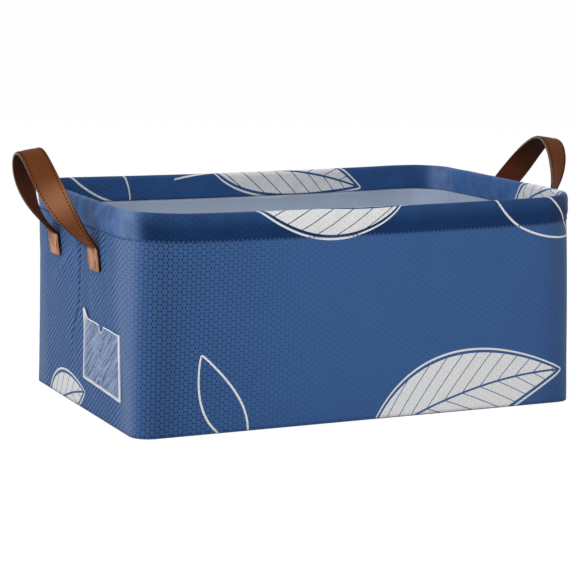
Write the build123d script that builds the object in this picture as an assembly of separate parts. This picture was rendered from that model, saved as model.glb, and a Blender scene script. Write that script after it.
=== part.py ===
from build123d import *
from math import asin, atan2, cos, degrees, hypot, pi, radians, sin
import os

# Fabric storage bin, in millimetres.
# +X runs along the long side, -Y is the front, +Z is up.
# The origin is the middle of the underside.

# Tub
RIM_LENGTH = 400.0
RIM_DEPTH = 274.0
RIM_RADIUS = 45.0
BASE_LENGTH = 395.0
BASE_DEPTH = 258.0
BASE_RADIUS = 16.0
HEIGHT = 177.0

# Layers
CLOTH = 1.0
LINING = 0.8
BOARD = 2.5
BOARD_CLEARANCE = 0.5

# Folded hem and the wire in it
HEM_DROP = 22.0
WIRE_RADIUS = 1.6
WIRE_CLEARANCE = 0.2
HEM_CLEARANCE = 0.1

# Sewn strap ends
TAB_GAP = 15.0
TAB_HEIGHT = 21.0
TAB_CORNER = 2.0
TAB_CLEARANCE = 0.05
PATCH = 1.0
PATCH_MARGIN = 3.0

# Handle straps
STRAP_WIDTH = 21.0
STRAP_FACE = 1.8
STRAP_BACKING = 1.2
STRAP_FEET = 101.0
STRAP_RISE = 84.0
STRAP_BOW = 5.3
STRAP_LEAN = 26.0
STRAP_TOP_TILT = 19.0
STRAP_TWIST_END = 73.5
STRAP_STEPS = 28
CREASE_RADIUS = 1.5
CREASE_OFFSET = 3.3
CREASE_CLEARANCE = 0.3

# Label pocket on the left end
LABEL_WIDTH = 82.0
LABEL_HEIGHT = 53.0
LABEL_ABOVE_BASE = 24.0
LABEL_OFF_MIDDLE = 14.0
LABEL_BORDER = 2.6
LABEL_BORDER_HEIGHT = 0.8
LABEL_FILM = 0.4
LABEL_NOTCH = 6.5

# Worked-out places
HEM_BOTTOM = HEIGHT - HEM_DROP
WALL = CLOTH + LINING
STRAP = STRAP_FACE + STRAP_BACKING
TAB_TOP = HEM_BOTTOM - TAB_GAP
TAB_FOOT = TAB_TOP - TAB_HEIGHT
TAB_MIDDLE = TAB_TOP - TAB_HEIGHT / 2
TAB_LIFT = degrees(atan2(CREASE_OFFSET, TAB_HEIGHT))
END_SLOPE = (RIM_LENGTH - BASE_LENGTH) / 2 / (HEM_BOTTOM - CLOTH)
END_ANGLE = degrees(atan2(END_SLOPE, 1))


def end_wall(z):
    """Distance of the end wall's outer face from the middle of the bin."""
    return BASE_LENGTH / 2 + END_SLOPE * (z - CLOTH)


HINGE_Z = TAB_TOP
HINGE_X = end_wall(TAB_TOP) + TAB_CLEARANCE + STRAP + CREASE_OFFSET


def band(length, depth, radius, outside, inside):
    """Flat outline of one wall, from the middle of one corner to the middle of the next."""
    centre_x = length / 2 - radius
    centre_y = radius - depth / 2
    near = radius - outside
    far = radius - inside
    lines = [
        CenterArc((-centre_x, centre_y), near, 225, 45),
        Line((-centre_x, centre_y - near), (centre_x, centre_y - near)),
        CenterArc((centre_x, centre_y), near, 270, 45),
        CenterArc((-centre_x, centre_y), far, 225, 45),
        Line((-centre_x, centre_y - far), (centre_x, centre_y - far)),
        CenterArc((centre_x, centre_y), far, 270, 45),
    ]
    lines.append(Line(lines[0] @ 0, lines[3] @ 0))
    lines.append(Line(lines[2] @ 1, lines[5] @ 1))
    return make_face(lines)


def wall(turn, bottom, outside, inside):
    """One side of the tub between two depths into it, on the side that turn brings to the front."""
    across = turn % 180 == 90
    base = (BASE_DEPTH, BASE_LENGTH) if across else (BASE_LENGTH, BASE_DEPTH)
    rim = (RIM_DEPTH, RIM_LENGTH) if across else (RIM_LENGTH, RIM_DEPTH)
    low = band(*base, BASE_RADIUS, outside, inside)
    high = band(*rim, RIM_RADIUS, outside, inside)
    solid = loft([Pos(0, 0, bottom) * low, Pos(0, 0, HEM_BOTTOM) * high], ruled=True)
    return Rot(0, 0, turn) * solid


def plate(inset, bottom, thickness):
    """Flat layer of the base, set in from the outside of the tub."""
    outline = RectangleRounded(BASE_LENGTH - 2 * inset, BASE_DEPTH - 2 * inset, BASE_RADIUS - inset)
    return Pos(0, 0, bottom) * extrude(outline, thickness)


def rim_path(inset, z):
    """Rounded rectangle around the rim, set in from its outside, from the middle of the front."""
    x = RIM_LENGTH / 2 - inset
    y = RIM_DEPTH / 2 - inset
    radius = RIM_RADIUS - inset
    sides = [
        Line((0, -y), (x - radius, -y)),
        CenterArc((x - radius, radius - y), radius, 270, 90),
        Line((x, radius - y), (x, y - radius)),
        CenterArc((x - radius, y - radius), radius, 0, 90),
        Line((x - radius, y), (radius - x, y)),
        CenterArc((radius - x, y - radius), radius, 90, 90),
        Line((-x, y - radius), (-x, radius - y)),
        CenterArc((radius - x, radius - y), radius, 180, 90),
        Line((radius - x, -y), (0, -y)),
    ]
    return Pos(0, 0, z) * Wire([edge for side in sides for edge in side.edges()])


def touch_angle(point, centre, radius):
    """Direction from the bead's centre to where a line from the point meets it on the inner side."""
    across = centre[0] - point[0]
    up = centre[1] - point[1]
    return degrees(atan2(up, across) - asin(radius / hypot(across, up))) - 90


def rim_hem():
    """Cloth folded over the wire, with both edges down to the hem's seam."""
    inner = WIRE_RADIUS + WIRE_CLEARANCE
    outer = inner + CLOTH
    centre = (outer, HEIGHT - outer)
    bottom = HEM_BOTTOM + HEM_CLEARANCE
    inside_foot = (2 * CLOTH + LINING, bottom)
    slot_foot = (CLOTH + LINING, bottom)
    over = CenterArc(centre, outer, 180, touch_angle(inside_foot, centre, outer) - 180)
    under = CenterArc(centre, inner, 180, touch_angle(slot_foot, centre, inner) - 180)
    lines = [
        Line((0, bottom), over @ 0),
        over,
        Line(over @ 1, inside_foot),
        Line(inside_foot, slot_foot),
        Line(slot_foot, under @ 1),
        under,
        Line(under @ 0, (CLOTH, bottom)),
        Line((CLOTH, bottom), (0, bottom)),
    ]
    section = Plane(origin=(0, -RIM_DEPTH / 2, 0), x_dir=(0, 1, 0), z_dir=(1, 0, 0)) * make_face(lines)
    return sweep(section, path=rim_path(0, 0))


def rim_wire():
    """Welded ring of round wire in the top of the hem."""
    inset = CLOTH + WIRE_CLEARANCE + WIRE_RADIUS
    middle = HEIGHT - inset
    place = Plane(origin=(0, inset - RIM_DEPTH / 2, middle), z_dir=(1, 0, 0))
    return sweep(place * Circle(WIRE_RADIUS), path=rim_path(inset, middle))


def end_face(y, z, out):
    """Plane on the left end wall: x to the front, y up the wall, z outward."""
    normal = (-cos(radians(END_ANGLE)), 0, -sin(radians(END_ANGLE)))
    return Plane(origin=(-end_wall(z), y, z), x_dir=(0, -1, 0), z_dir=normal).offset(out)


def tab(y):
    """End of the strap, sewn on at its foot and pulled off the wall at its top, hollowed for the crease."""
    outline = Pos(0, TAB_HEIGHT / 2) * Rectangle(STRAP_WIDTH, TAB_HEIGHT)
    outline = fillet(outline.vertices().group_by(Axis.Y)[0], TAB_CORNER)
    solid = end_face(y, TAB_FOOT, TAB_CLEARANCE) * Rot(TAB_LIFT, 0, 0) * extrude(outline, STRAP)
    crease = Cylinder(CREASE_RADIUS + CREASE_CLEARANCE, STRAP_WIDTH, rotation=(90, 0, 0))
    return solid - Pos(-HINGE_X, y, HINGE_Z) * crease


def patch(y):
    """Square inside the end wall that the strap's seam also goes through."""
    outline = Rectangle(STRAP_WIDTH + 2 * PATCH_MARGIN, TAB_HEIGHT)
    return end_face(y, TAB_MIDDLE, -WALL - TAB_CLEARANCE) * extrude(outline, -PATCH)


def strap_point(angle):
    """Point on the strap's outer face, from the front crease at 0 to the rear one at 180 degrees."""
    rise = sin(radians(angle)) ** 1.5
    bow = 4 * rise * (1 - rise)
    lean = radians(STRAP_LEAN)
    along = Vector(-sin(lean), 0, cos(lean)) * (STRAP_RISE * rise)
    outward = Vector(-cos(lean), 0, -sin(lean)) * (STRAP_BOW * bow)
    across = Vector(0, -STRAP_FEET / 2 * cos(radians(angle)), 0)
    return Vector(-HINGE_X, 0, HINGE_Z) + along + outward + across


def strap_plane(angle):
    """Plane across the strap: x toward the bin, y into its thickness, z along it."""
    step = 0.5
    after = strap_point(min(angle + step, 180))
    before = strap_point(max(angle - step, 0))
    along = (after - before).normalized()
    turned = min(min(angle, 180 - angle) / STRAP_TWIST_END, 1)
    twist = pi / 2 * turned * turned * (3 - 2 * turned)
    foot = Vector(0, -1 if angle < 90 else 1, 0)
    tilt = radians(STRAP_TOP_TILT)
    top = Vector(cos(tilt), 0, sin(tilt))
    wide = foot * cos(twist) + top * sin(twist)
    wide = wide - along * wide.dot(along)
    return Plane(origin=strap_point(angle), x_dir=wide.normalized(), z_dir=along)


def strap_layer(start, thickness):
    """One ply of the strap between the two creases, starting below its outer face."""
    section = Pos(0, start + thickness / 2) * Rectangle(STRAP_WIDTH, thickness)
    places = [strap_plane(180 * step / STRAP_STEPS) for step in range(STRAP_STEPS + 1)]
    return loft([place * section for place in places], ruled=True)


def strap_face():
    """Outer ply of the strap, with the rolled crease at each foot."""
    solid = strap_layer(0, STRAP_FACE)
    for y in (-STRAP_FEET / 2, STRAP_FEET / 2):
        roll = Cylinder(CREASE_RADIUS, STRAP_WIDTH, rotation=(90, 0, 0))
        solid = solid + Pos(-HINGE_X, y, HINGE_Z) * roll
    return solid


def label_place(out):
    """Plane on the middle of the label pocket, above the wall by out."""
    return end_face(-LABEL_OFF_MIDDLE - LABEL_WIDTH / 2, LABEL_ABOVE_BASE + LABEL_HEIGHT / 2, out)


def label_border():
    """White edging on three sides of the pocket, open at the top."""
    outline = Rectangle(LABEL_WIDTH, LABEL_HEIGHT)
    card = Rectangle(LABEL_WIDTH - 2 * LABEL_BORDER, LABEL_HEIGHT)
    outline = outline - Pos(0, LABEL_BORDER) * card
    return label_place(0) * extrude(outline, LABEL_BORDER_HEIGHT)


def label_window():
    """Clear front of the pocket, with a thumb notch in its top edge."""
    outline = Rectangle(LABEL_WIDTH, LABEL_HEIGHT) - Pos(0, LABEL_HEIGHT / 2) * Circle(LABEL_NOTCH)
    return label_place(LABEL_BORDER_HEIGHT) * extrude(outline, LABEL_FILM)


def build():
    """Every piece of the bin by its name."""
    pieces = {}
    for side, turn in (("front", 0), ("right_end", 90), ("back", 180), ("left_end", 270)):
        pieces[f"{side}_panel"] = wall(turn, CLOTH, 0, CLOTH)
        pieces[f"{side}_lining"] = wall(turn, CLOTH, CLOTH, WALL)
    pieces["base_panel"] = plate(0, 0, CLOTH)
    pieces["base_board"] = plate(WALL + BOARD_CLEARANCE, CLOTH, BOARD)
    pieces["base_lining"] = plate(WALL + BOARD_CLEARANCE, CLOTH + BOARD, LINING)
    pieces["rim_hem"] = rim_hem()
    pieces["rim_wire"] = rim_wire()
    pieces["label_border"] = label_border()
    pieces["label_window"] = label_window()
    left = {"handle_face": strap_face(), "handle_backing": strap_layer(STRAP_FACE, STRAP_BACKING)}
    for end, y in (("front", -STRAP_FEET / 2), ("rear", STRAP_FEET / 2)):
        left[f"{end}_tab"] = tab(y)
        left[f"{end}_patch"] = patch(y)
    for name, solid in left.items():
        pieces[f"left_{name}"] = solid
        pieces[f"right_{name}"] = mirror(solid, about=Plane.YZ)
    return pieces


def main():
    os.makedirs("parts", exist_ok=True)
    for name, solid in build().items():
        export_step(solid, f"parts/{name}.step")


main()
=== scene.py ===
"""Fabric storage bin: cloth, lining, leather handles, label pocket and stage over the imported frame."""

from math import atan2, cos, exp, hypot, pi, radians, sin, sqrt

import bmesh
import bpy
from bpy.props import FloatProperty, FloatVectorProperty, PointerProperty
from bpy.types import Operator, Panel, PropertyGroup
from mathutils import Matrix, Vector, noise
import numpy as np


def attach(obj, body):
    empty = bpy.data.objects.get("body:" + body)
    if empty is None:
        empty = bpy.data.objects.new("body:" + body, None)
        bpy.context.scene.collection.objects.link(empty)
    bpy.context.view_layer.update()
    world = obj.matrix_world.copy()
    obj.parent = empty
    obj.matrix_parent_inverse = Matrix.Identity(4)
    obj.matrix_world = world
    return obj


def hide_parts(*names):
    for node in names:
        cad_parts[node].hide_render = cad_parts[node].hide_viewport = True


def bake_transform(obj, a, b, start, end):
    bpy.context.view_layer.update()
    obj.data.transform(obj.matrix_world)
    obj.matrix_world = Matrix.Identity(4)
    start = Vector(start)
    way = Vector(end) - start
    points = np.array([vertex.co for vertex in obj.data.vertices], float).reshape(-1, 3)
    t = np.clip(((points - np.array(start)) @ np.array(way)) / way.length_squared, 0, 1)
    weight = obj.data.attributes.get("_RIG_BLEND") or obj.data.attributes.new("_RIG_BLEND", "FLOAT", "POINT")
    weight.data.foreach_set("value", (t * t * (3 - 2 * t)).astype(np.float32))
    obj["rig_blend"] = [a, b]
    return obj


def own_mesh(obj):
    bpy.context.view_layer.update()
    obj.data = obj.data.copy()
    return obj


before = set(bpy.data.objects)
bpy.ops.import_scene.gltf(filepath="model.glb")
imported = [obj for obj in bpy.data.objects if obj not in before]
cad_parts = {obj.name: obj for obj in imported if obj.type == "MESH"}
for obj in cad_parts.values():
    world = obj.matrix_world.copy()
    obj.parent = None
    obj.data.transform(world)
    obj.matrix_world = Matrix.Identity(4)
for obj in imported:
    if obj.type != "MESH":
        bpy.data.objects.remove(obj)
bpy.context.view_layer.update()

bl_info = {
    "name": "Fabric Storage Bin",
    "version": (1, 0, 0),
    "blender": (4, 5, 0),
    "location": "View3D > Sidebar > Storage Bin",
    "description": "Cloth, lining, leather handles, label pocket and stage of a fabric storage bin",
    "category": "Object",
}

# Sizes in metres: the straps as given here, and the rest as in the solids
RIM_LENGTH = 0.400
RIM_DEPTH = 0.274
RIM_RADIUS = 0.045
BASE_LENGTH = 0.395
BASE_DEPTH = 0.258
BASE_RADIUS = 0.016
HEIGHT = 0.177
CLOTH = 0.001
LINING = 0.0008
WALL = CLOTH + LINING
BOARD_TOP = 0.0035
BOARD_INSET = 0.0023
HEM_BOTTOM = 0.155
BEAD_RADIUS = 0.0028
BEAD_MIDDLE = HEIGHT - BEAD_RADIUS
WIRE_RADIUS = 0.0016
TAB_TOP = 0.1393
TAB_FOOT = 0.1212
TAB_HEIGHT = TAB_TOP - TAB_FOOT
TAB_CORNER = 0.002
TAB_CLEARANCE = 0.00005
PATCH = 0.001
PATCH_WIDTH = 0.027
STRAP_WIDTH = 0.0211
STRAP_FOOT_WIDER = 0.003
STRAP = 0.003
FRONT_FOOT = -0.0452
REAR_FOOT = 0.0538
STRAP_RISE = 0.0833
STRAP_BOW = 0.0068
STRAP_TOP_TILT = radians(9)
STRAP_TWIST_END = 85.5
CREASE_OFFSET = 0.00155
BEND_FROM = 0.137
BEND_TO = 0.144
LABEL_WIDTH = 0.082
LABEL_HEIGHT = 0.053
LABEL_FOOT = 0.0255
LABEL_REAR = -0.014
LABEL_BORDER = 0.0026
LABEL_BORDER_HEIGHT = 0.0008
LABEL_FILM = 0.0004
LABEL_NOTCH = 0.0065

WALL_RISE = HEM_BOTTOM - CLOTH
END_SLOPE = (RIM_LENGTH - BASE_LENGTH) / 2 / WALL_RISE
ROUND = 2 * (RIM_LENGTH + RIM_DEPTH) - (8 - 2 * pi) * RIM_RADIUS
HEM_WIDTH = 2 * (BEAD_MIDDLE - HEM_BOTTOM) + pi * BEAD_RADIUS

# Threads: how far the hem's stand out, length and width of its stitches, and the widths of the others
HEM_THREAD_OUT = 0.0002
HEM_STITCH = (0.0024, 0.0011)
STRAP_STITCH = 0.0008
PATCH_STITCH = 0.0009
UP = Vector((0, 0, 1))

# Each strap's side of the bin, its lean, and how strong the painted highlight on its legs is
STRAPS = {"left": (1, radians(25.0), 1.0), "right": (-1, radians(29.8), 0.1)}

# Columns and rows of the meshes, and steps along a strap's sewn end and its arch
WALL_MESH = (880, 52)
LINING_MESH = (480, 52)
HEM_MESH = (480, 34)
WIRE_MESH = (240, 12)
BASE_MESH = (80, 52)
BED_MESH = (96, 64)
PATCH_MESH = (14, 10)
FILM_MESH = (132, 60)
EDGING_CUTS = 20
STRAP_ROUND = 36
STRAP_STEPS = (20, 108)
STITCH_STEPS = (60, 600)

# Settings that many shader nodes share
RGBA = {"data_type": "RGBA"}
TIMES = {"data_type": "RGBA", "blend_type": "MULTIPLY"}
SMOOTH = {"interpolation_type": "SMOOTHSTEP"}


def srgb(code):
    """Linear colour of a six-digit sRGB hex value."""
    parts = [int(code[i : i + 2], 16) / 255 for i in (0, 2, 4)]
    return tuple(c / 12.92 if c <= 0.04045 else ((c + 0.055) / 1.055) ** 2.4 for c in parts)


def clamp(value):
    """Value held between 0 and 1."""
    return min(max(value, 0), 1)


def ease(value, start, end):
    """Smooth step from 0 at start to 1 at end."""
    share = clamp((value - start) / (end - start))
    return share * share * (3 - 2 * share)


def bell(off, width):
    """Rounded bump, 1 in its middle, that dies away over a width."""
    return exp(-((off / width) ** 2))


def sign_of(value):
    """1 for a positive value and -1 for any other."""
    return 1 if value > 0 else -1


class BinClothSettings(PropertyGroup):
    """Cloth, print, lining and hem."""

    ground: FloatVectorProperty(
        name="Cloth", description="Dyed colour of the outer cloth", subtype="COLOR", default=srgb("375d92")
    )
    # Painted shade: the hem's long sides are darkened toward this colour
    hem: FloatVectorProperty(
        name="Hem", description="Doubled cloth of the hem", subtype="COLOR", default=srgb("143562")
    )
    ink: FloatVectorProperty(
        name="Print", description="Ink of the leaf print", subtype="COLOR", default=srgb("f0f0ee")
    )
    # Painted highlight: the cloth is whitened toward this colour round the corners
    sheen: FloatVectorProperty(
        name="Stretched cloth", description="Whitening at corners", subtype="COLOR", default=srgb("b4c6e2")
    )
    lining: FloatVectorProperty(
        name="Lining", description="Coating on the inside", subtype="COLOR", default=srgb("bdcbe0")
    )
    thread: FloatVectorProperty(
        name="Hem thread", description="Thread of the hem seam", subtype="COLOR", default=srgb("4f6fa4")
    )
    cell: FloatProperty(
        name="Weave cell", description="Spacing of the honeycomb", unit="LENGTH", default=0.0044, min=0.001
    )
    stitch: FloatProperty(
        name="Hem stitch", description="Spacing of hem stitches", unit="LENGTH", default=0.0038, min=0.001
    )
    pinch: FloatProperty(
        name="Seam pinch", description="Pull of the hem seam", unit="LENGTH", default=0.0011, min=0
    )
    sag: FloatProperty(
        name="Rim sag", description="Dip of the rim's long sides", unit="LENGTH", default=0.002, min=0
    )
    crease: FloatProperty(
        name="End crease", description="Depth of the end crease", unit="LENGTH", default=0.0013, min=0
    )


class BinHandleSettings(PropertyGroup):
    """Leather straps and their stitching."""

    face: FloatVectorProperty(
        name="Leather", description="Outer face of the straps", subtype="COLOR", default=srgb("73401f")
    )
    # Painted highlight on the legs, and the paler sewn ends, partly worn and partly painted light
    worn: FloatVectorProperty(
        name="Worn leather", description="Pulled and rubbed leather", subtype="COLOR", default=srgb("d29d80")
    )
    back: FloatVectorProperty(
        name="Backing", description="Inner face of the straps", subtype="COLOR", default=srgb("5e2d17")
    )
    edge: FloatVectorProperty(
        name="Cut edge", description="Edge paint on the straps", subtype="COLOR", default=srgb("8d7a68")
    )
    # Painted shade: the backing's top and the edges' lower ends are darkened toward this colour
    strap_shade: FloatVectorProperty(
        name="Soiled leather", description="Handled leather", subtype="COLOR", default=srgb("22120a")
    )
    thread: FloatVectorProperty(
        name="Thread", description="Thread of the straps", subtype="COLOR", default=srgb("26120a")
    )
    pitch: FloatProperty(
        name="Stitch pitch", description="Spacing of strap stitches", unit="LENGTH", default=0.0028, min=0.001
    )
    margin: FloatProperty(
        name="Stitch margin", description="From stitch row to edge", unit="LENGTH", default=0.0021, min=0.001
    )
    grain: FloatProperty(
        name="Grain", description="Size of the leather's pebbles", unit="LENGTH", default=0.0014, min=0.0002
    )


class BinLabelSettings(PropertyGroup):
    """Label pocket on the left end."""

    edging: FloatVectorProperty(
        name="Edging", description="White tape around the pocket", subtype="COLOR", default=srgb("f6f8fb")
    )
    film: FloatVectorProperty(
        name="Film", description="Haze of the clear film", subtype="COLOR", default=srgb("afc6ec")
    )
    lift: FloatProperty(
        name="Corner lift", description="Rise of the rear top corner", unit="LENGTH", default=0.007, min=0
    )


class BinStageSettings(PropertyGroup):
    """Camera, lamps and floor."""

    lens: FloatProperty(
        name="Lens", description="Focal length on a 36 mm sensor", unit="CAMERA", default=130.63, min=10
    )
    key: FloatProperty(
        name="Key lamp", description="Softbox at the front left", unit="POWER", default=11.0, min=0
    )
    fill: FloatProperty(
        name="Fill lamp", description="Softbox at the front right", unit="POWER", default=1.1, min=0
    )
    side: FloatProperty(
        name="Side lamp", description="Softbox at the left end", unit="POWER", default=3.0, min=0
    )
    top: FloatProperty(
        name="Top lamp", description="Softbox overhead", unit="POWER", default=4.0, min=0
    )
    sky: FloatProperty(
        name="Room light", description="Strength of the even light from all round", default=0.42, min=0
    )
    floor: FloatVectorProperty(
        name="Floor", description="Paper under the bin", subtype="COLOR", default=srgb("f4f4f4")
    )


def outline(length, depth, radius, share):
    """Point and outward direction at a share of the way round a rounded rectangle, from behind."""
    side = length / 2 - radius
    end = depth - 2 * radius
    quarter = radius * pi / 2
    runs = (side, quarter, end, quarter, 2 * side, quarter, end, quarter, side)
    left = share * sum(runs)
    place = Vector((0, depth / 2))
    heading = pi
    for index, run in enumerate(runs):
        part = min(left, run)
        if index % 2:
            place = place + radius * Vector((-sin(heading), cos(heading)))
            heading += part / radius
            place = place + radius * Vector((sin(heading), -cos(heading)))
        else:
            place = place + part * Vector((cos(heading), sin(heading)))
        left -= part
        if left <= 0:
            break
    return place, Vector((sin(heading), -cos(heading)))


def rim_at(share):
    """Point and outward direction of the rim at a share of the way round."""
    return outline(RIM_LENGTH, RIM_DEPTH, RIM_RADIUS, share)


def facing(share):
    """Outward direction of the rim at a share of the way round."""
    return rim_at(share)[1]


def end_wall(z):
    """Distance of the end wall's outer face from the middle of the bin."""
    return BASE_LENGTH / 2 + END_SLOPE * (z - CLOTH)


HINGE = end_wall(TAB_TOP) + TAB_CLEARANCE + STRAP + CREASE_OFFSET


def tab_pull(across, z):
    """How far a sewn strap end pulls the cloth out behind it."""
    up = clamp((z - TAB_FOOT) / TAB_HEIGHT)
    pull = CREASE_OFFSET * 0.96 * up
    return pull * ease(z, HEM_BOTTOM - 0.001, TAB_TOP) * ease(abs(across), 0.025, 0.009)


def crease_path(z):
    """Where the fold down an end wall runs, across the wall."""
    return 0.018 * ease(z, 0.095, 0.052) + 0.0035 * ease(z, 0.134, 0.09) - 0.0028


def along_crease(share, z):
    """Share of the way round, with the mesh beside the middle of an end drawn over to the fold there."""
    place, outward = rim_at(share)
    if abs(outward.x) < 0.99:
        return share
    shift = crease_path(z) * bell(place.y, 0.04)
    return share + shift / ROUND * sign_of(outward.x)


def end_lines(y, z):
    """Marks of folding on an end wall: the crease down its middle, and a slack line toward the rear tab."""
    length = ease(z, 0.028, 0.075) * ease(z, 0.150, 0.136)
    down = (0.138 - z) / 0.031
    slant = 0.59 * (y - 0.0116 - 0.0424 * down)
    window = ease(down, 0, 0.2) * ease(down, 1.5, 1.0)
    return y - crease_path(z), length, slant, window


def slack(place, outward, z, lining):
    """How far the cloth stands out of its straight wall: seam pinch, soft waves, end creases and pulls.
    Below the sewn ends it keeps clear of the patches, which slide down inside it under a press. The lining
    isn't pulled by the sewn ends."""
    cloth = bpy.context.scene.bin_cloth
    spot = Vector((place.x, place.y, z))
    held = 1 - ease(z, 0.014, 0.001)
    stands = -cloth.pinch * (0.12 + 0.88 * outward.y**2) * bell(z - HEM_BOTTOM, 0.0055)
    stands += 0.0009 * held * noise.noise(spot * 13)
    ruffle = noise.noise(Vector((place.x * 70, place.y * 70, z * 9)))
    stands += (0.0007 + 0.0006 * abs(outward.x)) * ruffle * ease(z, 0.095, HEM_BOTTOM) * held
    corner = (2 * abs(outward.x * outward.y)) ** 2
    stands += 0.0012 * corner * held * noise.noise(Vector((place.x * 55, place.y * 55, z * 6)))
    if abs(outward.x) > 0.9:
        off, length, slant, window = end_lines(place.y, z)
        stands -= cloth.crease * length * (bell(off, 0.0026) - 0.55 * bell(off + 0.008, 0.006))
        stands += 0.0007 * window * bell(slant, 0.003)
        for foot in (FRONT_FOOT, REAR_FOOT):
            across = place.y - foot
            up = z - (TAB_FOOT + TAB_TOP) / 2
            far = hypot(across, up)
            fan = sin(9 * atan2(up, across) + 5 * noise.noise(spot * 30))
            stands += 0.0008 * fan * exp(-far / 0.026) * ease(far, 0.014, 0.022)
            under = 1 - ease(max(abs(across) - 0.012, abs(up) - 0.012), 0, 0.006)
            stands -= under * stands
            beside = ease(abs(across), PATCH_WIDTH / 2, PATCH_WIDTH / 2 + 0.006)
            behind = (1 - beside) * ease(z, 0.070, 0.086)
            stands += behind * (max(stands, 0.0004 * ease(z, 0.129, 0.122)) - stands)
            if not lining:
                stands += tab_pull(across, z)
        label = LABEL_REAR - LABEL_WIDTH / 2
        beside = abs(place.y - label) - LABEL_WIDTH / 2
        above = abs(z - LABEL_FOOT - LABEL_HEIGHT / 2) - LABEL_HEIGHT / 2
        if outward.x < 0:
            stands -= (1 - ease(max(beside, above), 0.001, 0.010)) * max(stands, 0)
    return stands


def tub_point(share, z, inset, lining=False):
    """Point of the tub's wall at a height, set in from its outer face, with the slack of the cloth."""
    rise = clamp((z - CLOTH) / WALL_RISE)
    length = BASE_LENGTH + (RIM_LENGTH - BASE_LENGTH) * rise
    depth = BASE_DEPTH + (RIM_DEPTH - BASE_DEPTH) * rise
    radius = BASE_RADIUS + (RIM_RADIUS - BASE_RADIUS) * rise
    place, outward = outline(length, depth, radius, share)
    place = place + outward * (slack(place, outward, z, lining) - inset)
    middle = max(0, 1 - (2 * place.x / RIM_LENGTH) ** 2)
    dip = bpy.context.scene.bin_cloth.sag * rise * middle * outward.y**2
    return Vector((place.x, place.y, z - dip))


def hem_profile(way):
    """Inset and height along the hem's cloth, from the outer seam over the bead to the inner seam."""
    straight = BEAD_MIDDLE - HEM_BOTTOM
    arch = pi * BEAD_RADIUS
    far = way * (2 * straight + arch)
    if far < straight:
        puff = 0.0007 * sin(pi * far / straight) + 0.0002
        return -puff, HEM_BOTTOM + far
    if far < straight + arch:
        turn = (far - straight) / BEAD_RADIUS
        return BEAD_RADIUS * (1 - cos(turn)), BEAD_MIDDLE + BEAD_RADIUS * sin(turn)
    down = (far - straight - arch) / straight
    puff = 0.0006 * sin(pi * down)
    return 2 * BEAD_RADIUS - BEAD_RADIUS * down + puff, BEAD_MIDDLE - straight * down


def past_corner(share):
    """Distance past the middle of the nearest corner, toward the end wall."""
    along = abs(share - 0.5) * ROUND
    corner = RIM_LENGTH / 2 - RIM_RADIUS + RIM_RADIUS * pi / 4
    return min(along, ROUND / 2 - along) - corner


def crisp(share, up):
    """How deep the weave's cells show, in bump and in the painted shade of their outlines: most beside the left
    corners, and over the ends.
    """
    gap = past_corner(share) + 0.008
    cell_sharpness = bell(gap, 0.1 if gap < 0 else 0.021) * (1 - 0.9 * ease(rim_at(share)[0].x, -0.12, 0.1))
    return max(cell_sharpness, 0.55 * ease(gap, 0.0, 0.03))


def streaky(share, up):
    """How far slanted streaks show: on the ends, which are folded when the bin is packed flat."""
    return ease(past_corner(share), 0.02, 0.045)


def pale(share, up):
    """Painted highlight: how far the cloth is whitened round a corner, on the side of the end wall."""
    gap = past_corner(share)
    return ease(gap, 0.0, 0.016) * (1 - ease(gap, 0.02, 0.05))


def turning(share):
    """Shade round a corner: darker just short of it, on the long wall."""
    return -0.2 * bell(past_corner(share) + 0.012, 0.016)


def new_grid(columns, rows, *marks):
    """Flat grid of one unit, with a map of places on the flat material and a layer for each mark."""
    bm = bmesh.new()
    bmesh.ops.create_grid(bm, x_segments=columns, y_segments=rows, size=0.5)
    bm.loops.layers.uv.new("flat")
    for mark in marks:
        bm.verts.layers.float.new(mark)
    return bm, [bm.verts.layers.float[mark] for mark in marks]


def lay_flat(bm, place):
    """Gives each corner of each face its place on the flat material, in metres."""
    flat = bm.loops.layers.uv["flat"]
    for face in bm.faces:
        for loop in face.loops:
            loop[flat].uv = place(loop.vert)


def wrapped_sheet(mesh, shape, cut, **marks):
    """Flat grid carried round the bin: shape gives each point, cut its place on the flat cloth, and each
    mark a value that the material reads."""
    bm, layers = new_grid(*mesh, *marks)
    lay_flat(bm, lambda vert: cut(vert.co.x + 0.5, vert.co.y + 0.5))
    for vert in bm.verts:
        share = vert.co.x + 0.5
        up = vert.co.y + 0.5
        for layer, mark in zip(layers, marks.values()):
            vert[layer] = mark(share, up)
        vert.co = shape(share, up)
    bmesh.ops.remove_doubles(bm, verts=bm.verts, dist=1e-6)
    return bm


def finished(bm, name, *materials):
    """Object made from a bmesh, with smooth faces and its materials."""
    mesh = bpy.data.meshes.new(name)
    bm.to_mesh(mesh)
    bm.free()
    for material in materials:
        mesh.materials.append(material)
    mesh.shade_smooth()
    piece = bpy.data.objects.new(name, mesh)
    bpy.context.scene.collection.objects.link(piece)
    return piece


def thicken(piece, thickness):
    """Gives a sheet its thickness on the side away from its face."""
    layer = piece.modifiers.new("thickness", "SOLIDIFY")
    layer.thickness = thickness
    layer.offset = -1
    layer.use_even_offset = True


def add_stitch(bm, place, along, across, length, width):
    """One stitch of thread: a small rounded bar that lies along its seam."""
    up = along.cross(across)
    matrix = Matrix((across * width / 2, up * width / 2, along * length / 2)).transposed().to_4x4()
    matrix.translation = place
    return bmesh.ops.create_uvsphere(bm, u_segments=6, v_segments=4, radius=1, matrix=matrix)["verts"]


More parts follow.
